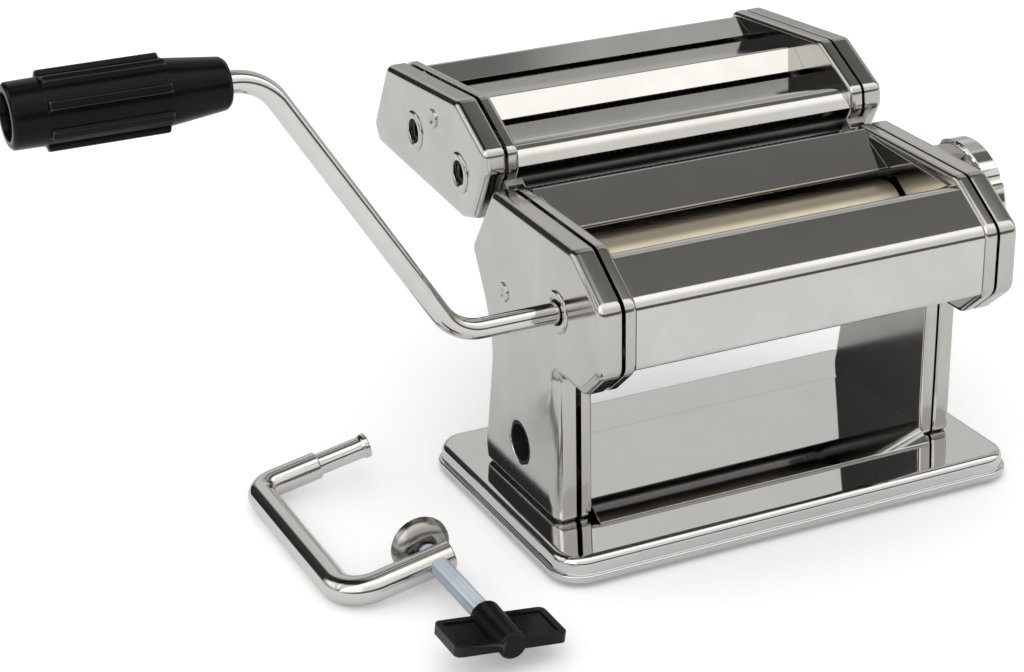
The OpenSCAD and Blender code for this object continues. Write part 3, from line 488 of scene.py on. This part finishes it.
stock = dict(thick=1, half=76.5, edge=0.18)  # sheets reach from frame to frame
sheets = {  # bent sheets between the side frames: y, z and bend radius
    "front_panel": [(-39.9, 107.5), (-46, 118.42, 6), (-68.4, 103.4, 7), (-68.4, 76.6, 2.5), (-60.4, 76.6)],
    "rear_panel": [(29.2, 73), (41, 91.6, 4), (22.4, 118.4)],
    "dough_guide": [(20.4, 115), (18.4, 120.8, 1.6), (-3.4, 110)],
    "cutter_rear_panel": [near(wide, 39.4, -14.5), near(wide, 43.6, -9.3, 3), near(wide, 26.8, 19.1, 3),
                          near(wide, 12.8, 13.7)],
    "cutter_ridge_panel": [near(wide, 8, 13.1), near(wide, -22.9, 17.7, 1.5), near(narrow, 12.7, 14.2)],
    "cutter_front_panel": [near(narrow, 8.3, 13.2), near(narrow, -19.2, 15, 9), near(narrow, -23.6, 7.2)],
}
floorPlate = [(33, 0.9), (22.6, 6, 1.5), (-29, 6, 1.5), (-40, 0.92)]  # raised plate on the tray


def bendSide(path, off, step=4):  # one side of a bent strip, moved left by off
    points, last = [], len(path) - 1
    for i, p in enumerate(path):
        before, here, after = (Vector(path[k][:2]) for k in (max(i - 1, 0), i, min(i + 1, last)))
        along = (here - before if i else after - here).normalized()
        left = Vector((-along.y, along.x))
        if i in (0, last):
            points.append(here + left * off)
            continue
        ahead = (after - here).normalized()
        turn = math.atan2(along.x * ahead.y - along.y * ahead.x, along.dot(ahead))
        sign, radius = math.copysign(1, turn), p[2]
        centre = here - radius * math.tan(abs(turn) / 2) * along + sign * radius * left
        first = math.atan2(-sign * left.y, -sign * left.x)
        parts = max(2, math.ceil(abs(math.degrees(turn)) / step))
        for k in range(parts + 1):
            a = first + turn * k / parts
            points.append(centre + (radius - sign * off) * Vector((math.cos(a), math.sin(a))))
    return points


def makeSheet(name, path, look, carrier=None):  # with a carrier it is added beside that node
    outline = bendSide(path, 0) + bendSide(path, look["thick"])[::-1]
    bm = bmesh.new()
    ends = [addRing(bm, [Vector((x, p.x, p.y + trayTop)) * mm for p in outline])
            for x in (-look["half"], look["half"])]
    joinRings(bm, ends)
    for end in ends:
        bm.faces.new(end)
    bmesh.ops.recalc_face_normals(bm, faces=bm.faces)
    soften(bm, [e for e in bm.edges if e.calc_face_angle(0) > math.radians(40)], look["edge"])
    evenShading(placePiece(name + "_sheet", bm, carrier or name, added=carrier is not None))


for node, path in sheets.items():
    makeSheet(node, path, stock)
makeSheet("floor_plate", floorPlate, stock, "base_plate")
print("tray and sheets made")

rodSides = 40
toLeft, toBack, upright = (-1, 0, 0), (0, 1, 0), (0, 0, 1)


def sweepRod(bm, corners, radius, origin, first, second, soft):  # round rod in the plane of two axes
    first, second = Vector(first), Vector(second)
    normal = first.cross(second)
    path = [Vector(origin) + first * p.x + second * p.y for p in bendSide(corners, 0)]
    steps = [(b - a).normalized() for a, b in zip(path[:1] + path[:-1], path[1:] + path[-1:])]
    stations = [(path[0], steps[0], radius - soft), (path[0] + steps[0] * soft, steps[0], radius)]
    stations += [(p, t, radius) for p, t in zip(path[1:-1], steps[1:-1])]
    stations += [(path[-1] - steps[-1] * soft, steps[-1], radius), (path[-1], steps[-1], radius - soft)]
    rings = []
    for centre, along, size in stations:
        side = normal.cross(along)
        rings.append(addRing(bm, [(centre + size * (normal * math.cos(a) + side * math.sin(a))) * mm
                                  for a in fullTurn(rodSides)]))
    joinRings(bm, rings)
    for end in (rings[0], rings[-1]):
        bm.faces.new(end)


crank = dict(rod=4, soft=0.3, start=coverOut - 1.2, elbow=133.5, knee=202.38, end=214.38, rise=108.035,
             bend=19.375, spindleAt=213.5, spindle=[(0, 0), (0, 3), (72, 3), (72, 0)],
             keyAt=9.7 - coverOut, key=(21.4, 5.56, 5.56), keyEdge=0.5)
crankAxis = (0, crankHole[0], crankHole[1] + trayTop)
gripHeight = crankAxis[2] + crank["rise"]


def makeCrank(look):
    bm = bmesh.new()
    path = [(look["start"], 0), (look["elbow"], 0, look["bend"]),
            (look["knee"], look["rise"], look["bend"]), (look["end"], look["rise"])]
    sweepRod(bm, path, look["rod"], crankAxis, toLeft, upright, look["soft"])
    spin(bm, look["spindle"], (-look["spindleAt"], crankAxis[1], gripHeight), toLeft, 32)
    middle = Matrix.Translation(Vector((look["keyAt"], *crankAxis[1:])) * mm)
    stretch = Matrix.Diagonal((*(Vector(look["key"]) * mm), 1))
    key = bmesh.ops.create_cube(bm, size=1, matrix=middle @ stretch)
    soften(bm, list({e for v in key["verts"] for e in v.link_edges}), look["keyEdge"])
    evenShading(placeSolid("crank_rod", bm, "crank"))


makeCrank(crank)

clamp = dict(at=(-182, -37.5, 5.75), tilt=10.8, rod=5.75, soft=0.5, span=99, lowerArm=43.6, lowerBend=13,
             upperArm=27.5, upperBend=8, screw=36.6,
             pin=[(25, 0), (25, 4.55), (46.8, 4.55), (48.2, 5.25), (50, 5.25), (50, 0)], pinEdge=0.5)
clampTilt = math.radians(clamp["tilt"])
clampAt, clampArm = Vector(clamp["at"]), Vector((math.cos(clampTilt), 0, math.sin(clampTilt)))
screwAt = clampAt + clampArm * clamp["screw"]


def makeClamp(look):
    bm = bmesh.new()
    path = [(look["lowerArm"], 0), (0, 0, look["lowerBend"]), (0, look["span"], look["upperBend"]),
            (look["upperArm"], look["span"])]
    sweepRod(bm, path, look["rod"], clampAt, clampArm, toBack, look["soft"])
    spin(bm, roundedProfile(look["pin"], look["pinEdge"]), clampAt + Vector((0, look["span"], 0)), clampArm)
    evenShading(placeSolid("clamp_rod", bm, "clamp_frame"))


makeClamp(clamp)

grip = dict(start=crank["end"], length=75, radius=13.5, sides=192, mouth=[(0.6, 4.3), (0, 4.6)],
            ribs=8, ribTurn=22, ribWidth=3.6, ribEdge=0.7, ribRun=0.5, ribFrom=0.29, ribTo=0.845,
            hollow=1.75, recess=8, recessDepth=6, bore=3.1)


def makeGrip(look):
    radius, end, recess = look["radius"], look["length"], look["recess"]
    floor, bottom, crest = radius - look["hollow"], end - look["recessDepth"], radius - 0.05
    ribStart, ribEnd = look["ribFrom"] * end, look["ribTo"] * end
    plain = roundedProfile([(0, radius - 7), (0, radius - 5.6), (1.6, radius - 4.4), (ribStart, radius - 2),
                            (ribStart + 0.5, floor), (ribEnd, floor), (ribEnd + 0.6, radius - 2.15),
                            (end - 1, radius - 2.3), (end, radius - 3.5), (end, recess + 0.2)], 0.5, 3)
    fades = [0.05 * k * k for k in range(6)]  # closer rings at the ends of the ribs
    lengths = [ribStart + (ribEnd - ribStart) * k / 8 for k in range(9)]
    lengths += [ribStart + f for f in fades] + [ribEnd - f for f in fades]
    stations = look["mouth"] + [p for p in plain if p[0] <= ribStart]
    stations += [(x, floor) for x in sorted({round(x, 3) for x in lengths}) if ribStart < x < ribEnd]
    stations += [p for p in plain if p[0] >= ribEnd]
    stations += [(end - 0.4, recess), (bottom, recess), (bottom, look["bore"])]
    spacing, edge = 360 / look["ribs"], look["ribEdge"]
    bm, rings = bmesh.new(), []
    for x, base in stations:
        ends = min(max(min(x - ribStart, ribEnd - x) / look["ribRun"], 0), 1)
        ring = []
        for a in fullTurn(look["sides"]):
            nearest = (math.degrees(a) - look["ribTurn"] + spacing / 2) % spacing - spacing / 2
            off = abs(math.radians(nearest)) * radius
            rise = min(max((look["ribWidth"] / 2 + edge / 2 - off) / edge, 0), 1)
            rise = rise * rise * (3 - 2 * rise) * math.sqrt(ends)
            r = base + (crest - base) * rise
            ring.append(Vector((-(look["start"] + x), crankAxis[1] - r * math.sin(a),
                                gripHeight + r * math.cos(a))) * mm)
        rings.append(addRing(bm, ring))
    joinRings(bm, rings)
    placeSolid("grip_ribbed", bm, "grip", 40)


makeGrip(grip)

thread = dict(radius=4, depth=0.6, pitch=1.25, start=-44.3, stop=7, sides=40, perTurn=10, flank=2.4,
              tip=[(6.8, 3.2), (11.2, 3), (11.2, 4), (12.8, 3.4), (12.8, 0)])


def makeThread(look):
    bm, rings = bmesh.new(), []
    up = clampArm.cross(Vector(toBack))
    pitch, length = look["pitch"], look["stop"] - look["start"]
    count = int(length / pitch * look["perTurn"])
    for i in range(count + 1):
        v = look["start"] + length * i / count
        ring = []
        for k, a in enumerate(fullTurn(look["sides"])):
            phase = (v / pitch - k / look["sides"]) % 1
            r = look["radius"] - look["depth"] * min(1, abs(phase - 0.5) * look["flank"])
            ring.append((screwAt + Vector((0, v, 0)) + r * (clampArm * math.cos(a) + up * math.sin(a))) * mm)
        rings.append(addRing(bm, ring))
    joinRings(bm, rings)
    spin(bm, look["tip"], screwAt, toBack, 32)
    placeSolid("screw_thread", bm, "clamp_screw", 50)


makeThread(thread)

cup = dict(back=8.2, depth=6, floor=3, radius=12, bore=3.1, hub=4.6, wall=0.9)


def makeCup(look):  # domed pressure cup, open to the back
    back, floor, hub, bore = (look[k] for k in ("back", "floor", "hub", "bore"))

    def dome(start, depth, radius):
        turns = [math.radians(7.5 * k) for k in range(13)]
        return [(start + depth * (1 - math.cos(a)), hub + (radius - hub) * math.sin(a)) for a in turns]

    outer = dome(back, look["depth"], look["radius"])
    inner = dome(back + floor, look["depth"] - floor, look["radius"] - look["wall"])
    bm = bmesh.new()
    spin(bm, [(back, bore), *outer, *inner[::-1], (back + floor, bore), (back, bore)], screwAt, toBack, 64)
    bmesh.ops.remove_doubles(bm, verts=bm.verts, dist=1e-6)
    placeSolid("cup_dome", bm, "clamp_cup", 40)


makeCup(cup)
print("crank, grip and clamp made")

eyelet = roundedProfile([(0, 5.1), (0, 6.4), (0.98, 6.4), (0.98, 8.5), (1.2, 8.5), (1.75, 7.7), (1.8, 6.4),
                         (1.3, 5), (0, 5)], 0.3)
dish = [(coverOut + h, r) for h, r in ((0.05, 0), (0.05, 0.7), (0.2, 1.3), (0.8, 2.3), (0.9, 3.2),
                                       (0.6, 3.9), (0, 4.1))]  # dished rivet head
tie = dict(radius=3.5, end=80.9, head=2.45, front=(0, -58, 94))
web, tieEnd = stock["half"], tie["end"]
tieBar = [(web, tie["radius"]), (-web, tie["radius"]), (-web, tieNeck), (-tieEnd, tieNeck), (-tieEnd, 0)]
plainTie = [(tieEnd, 0), (tieEnd, tieNeck), (web, tieNeck)] + tieBar
headedTie = dish + [(coverOut, tie["head"]), (web, tie["head"])] + tieBar
rivet = dish + [(coverOut, rivetHole), (web, rivetHole), (web, 3.5), (web - 1, 3.5), (web - 1, 0)]


def turnPiece(name, node, jobs):  # each job is a profile, its origin, its axis and its sides
    bm = bmesh.new()
    for job in jobs:
        spin(bm, *job)
    placeSolid(name, bm, node, 40)


def overTray(x, hole):
    return (x, hole[0], hole[1] + trayTop)


turnPiece("crank_ring", "crank_eyelet", [(eyelet, overTray(1 - coverOut, crankHole), toLeft, 64)])
turnPiece("socket_rings", "cutter_eyelets",
          [(eyelet, overTray(1 - coverOut, hole), toLeft, 64) for hole in (wide, narrow)])
turnPiece("tie_rod_turned", "tie_rods",
          [(headedTie, overTray(0, tieHole), toLeft), (plainTie, tie["front"], toLeft)])
turnPiece("cap_rivets", "cutter_rivets",
          [(rivet, overTray(0, capRivet), (side, 0, 0)) for side in (-1, 1)])

plainNodes = [node for node in bodyOf if node not in made]
for node in plainNodes:
    dressNode(node)
print("nodes shaped:", len(bodyOf) - len(plainNodes), "dressed:", len(plainNodes))

camera = dict(eye=(-0.4523, -0.7627, 0.4518), azimuth=-25.14, elevation=23.79, roll=-1.09,
              focal=2372, width=1024, sensor=36)  # focal and width in pixels


def makeCamera(look):
    data = bpy.data.cameras.new("photoCamera")
    data.sensor_width = look["sensor"]
    data.lens = look["focal"] / look["width"] * look["sensor"]
    data.clip_start, data.clip_end = 0.02, 50
    az, el, roll = (math.radians(look[k]) for k in ("azimuth", "elevation", "roll"))
    back = Vector((math.sin(az) * math.cos(el), -math.cos(az) * math.cos(el), math.sin(el)))
    level = Vector((math.cos(az), math.sin(az), 0))
    right = level * math.cos(roll) + back.cross(level) * math.sin(roll)
    turn = Matrix((right, back.cross(right), back)).transposed().to_4x4()
    shot = bpy.data.objects.new("photoCamera", data)
    shot.matrix_world = Matrix.Translation(look["eye"]) @ turn
    bpy.context.scene.collection.objects.link(shot)
    bpy.context.scene.camera = shot


studio = dict(floor=(0.95, 0.95, 0.95), floorHalf=6, ambient=(0.95, 0.95, 0.95), lift=(0.18, 0.18, 0.18),
              sheen=(1.0, 0.99, 0.965), ceiling=0.17,
              # steps of the mirrored room: start and stop of the lean, change of level
              behind=[(0.29, 0.35, 0.6), (0.40, 0.46, -0.22), (0.85, 0.95, 0.2), (1.16, 1.25, -0.25)],
              ahead=[(0.09, 0.17, 1.45), (0.5, 0.9, -0.65), (1.24, 1.32, -0.85)],  # soft box, dark end
              key=dict(place=(-0.7, -1.2, 1.5), aim=(0, 0, 0.1), size=(1.4, 1.4), power=7))


def makeSky(wire, look):  # what polished steel mirrors, by direction
    x, y, z = [wire.add("SeparateXYZ", {}, {0: wire.add("TexCoord", out="Generated")}, out=k) for k in "XYZ"]
    lean = wire.calc("ARCTAN2", y, z)  # angle from overhead to the back, radians
    level = look["ceiling"]
    for turn, steps in ((lean, look["behind"]), (-lean, look["ahead"])):
        for low, high, change in steps:
            level = level + turn.band(low, high) * change
    shade = (1 - x.band(0.41, 0.43)) * (lean.band(0.40, 0.46) - lean.band(0.60, 0.66))
    level = level - shade * 0.36  # darker strip of wall, but for its right end
    level = level + (-x).band(0.5, 0.65) * z.band(0.2, 0.35) * 0.8  # soft box on the left
    screen = (-x).band(0.06, 0.2) * y.band(0.0, 0.2) * (1 - (-x).band(0.55, 0.7))  # dark screen behind
    level = level * (1 - screen * 0.94)
    return wire.add("VectorMath", {"operation": "SCALE"}, {0: look["sheen"], "Scale": level})


def makeAir(look):
    world = bpy.data.worlds.new("studioAir")
    bpy.context.scene.world = world
    world.use_nodes = True
    wire = Wire(world.node_tree)
    glossy = wire.add("LightPath", out="Is Glossy Ray").tint(look["ambient"], makeSky(wire, look))
    seen = wire.add("LightPath", out="Is Camera Ray").tint(glossy, (1, 1, 1))
    wire.tree.links.new(seen.socket, world.node_tree.nodes["Background"].inputs["Color"])


def makeTable(look):
    bm = bmesh.new()
    bmesh.ops.create_grid(bm, x_segments=1, y_segments=1, size=look["floorHalf"])
    mesh = bpy.data.meshes.new("studioFloor")
    bm.to_mesh(mesh)
    bm.free()
    floor = bpy.data.objects.new("studioFloor", mesh)
    floor.location.z = -0.2 * mm  # just clear of what lies on it
    bpy.context.scene.collection.objects.link(floor)
    material, shader, wire = startMaterial("paleTable")[:3]
    shader.inputs["Base Color"].default_value = (*look["floor"], 1)
    shader.inputs["Roughness"].default_value = 0.9
    lift = wire.add("LightPath", out="Is Camera Ray").tint((0, 0, 0), look["lift"])
    link(wire, shader, Emission_Color=lift)  # the table is seen nearer to white
    shader.inputs["Emission Strength"].default_value = 1
    mesh.materials.append(material)


def makeLamp(look):
    lamp = bpy.data.lights.new("keyLamp", "AREA")
    lamp.shape, lamp.energy = "RECTANGLE", look["power"]
    lamp.size, lamp.size_y = look["size"]
    holder = bpy.data.objects.new("keyLamp", lamp)
    holder.location = look["place"]
    holder.rotation_mode = "QUATERNION"
    holder.rotation_quaternion = (Vector(look["aim"]) - holder.location).to_track_quat("-Z", "Y")
    holder.visible_glossy = False
    bpy.context.scene.collection.objects.link(holder)


makeCamera(camera)
makeAir(studio)
makeTable(studio)
makeLamp(studio["key"])
bpy.context.scene.view_settings.view_transform = "Standard"
print("camera and studio set")
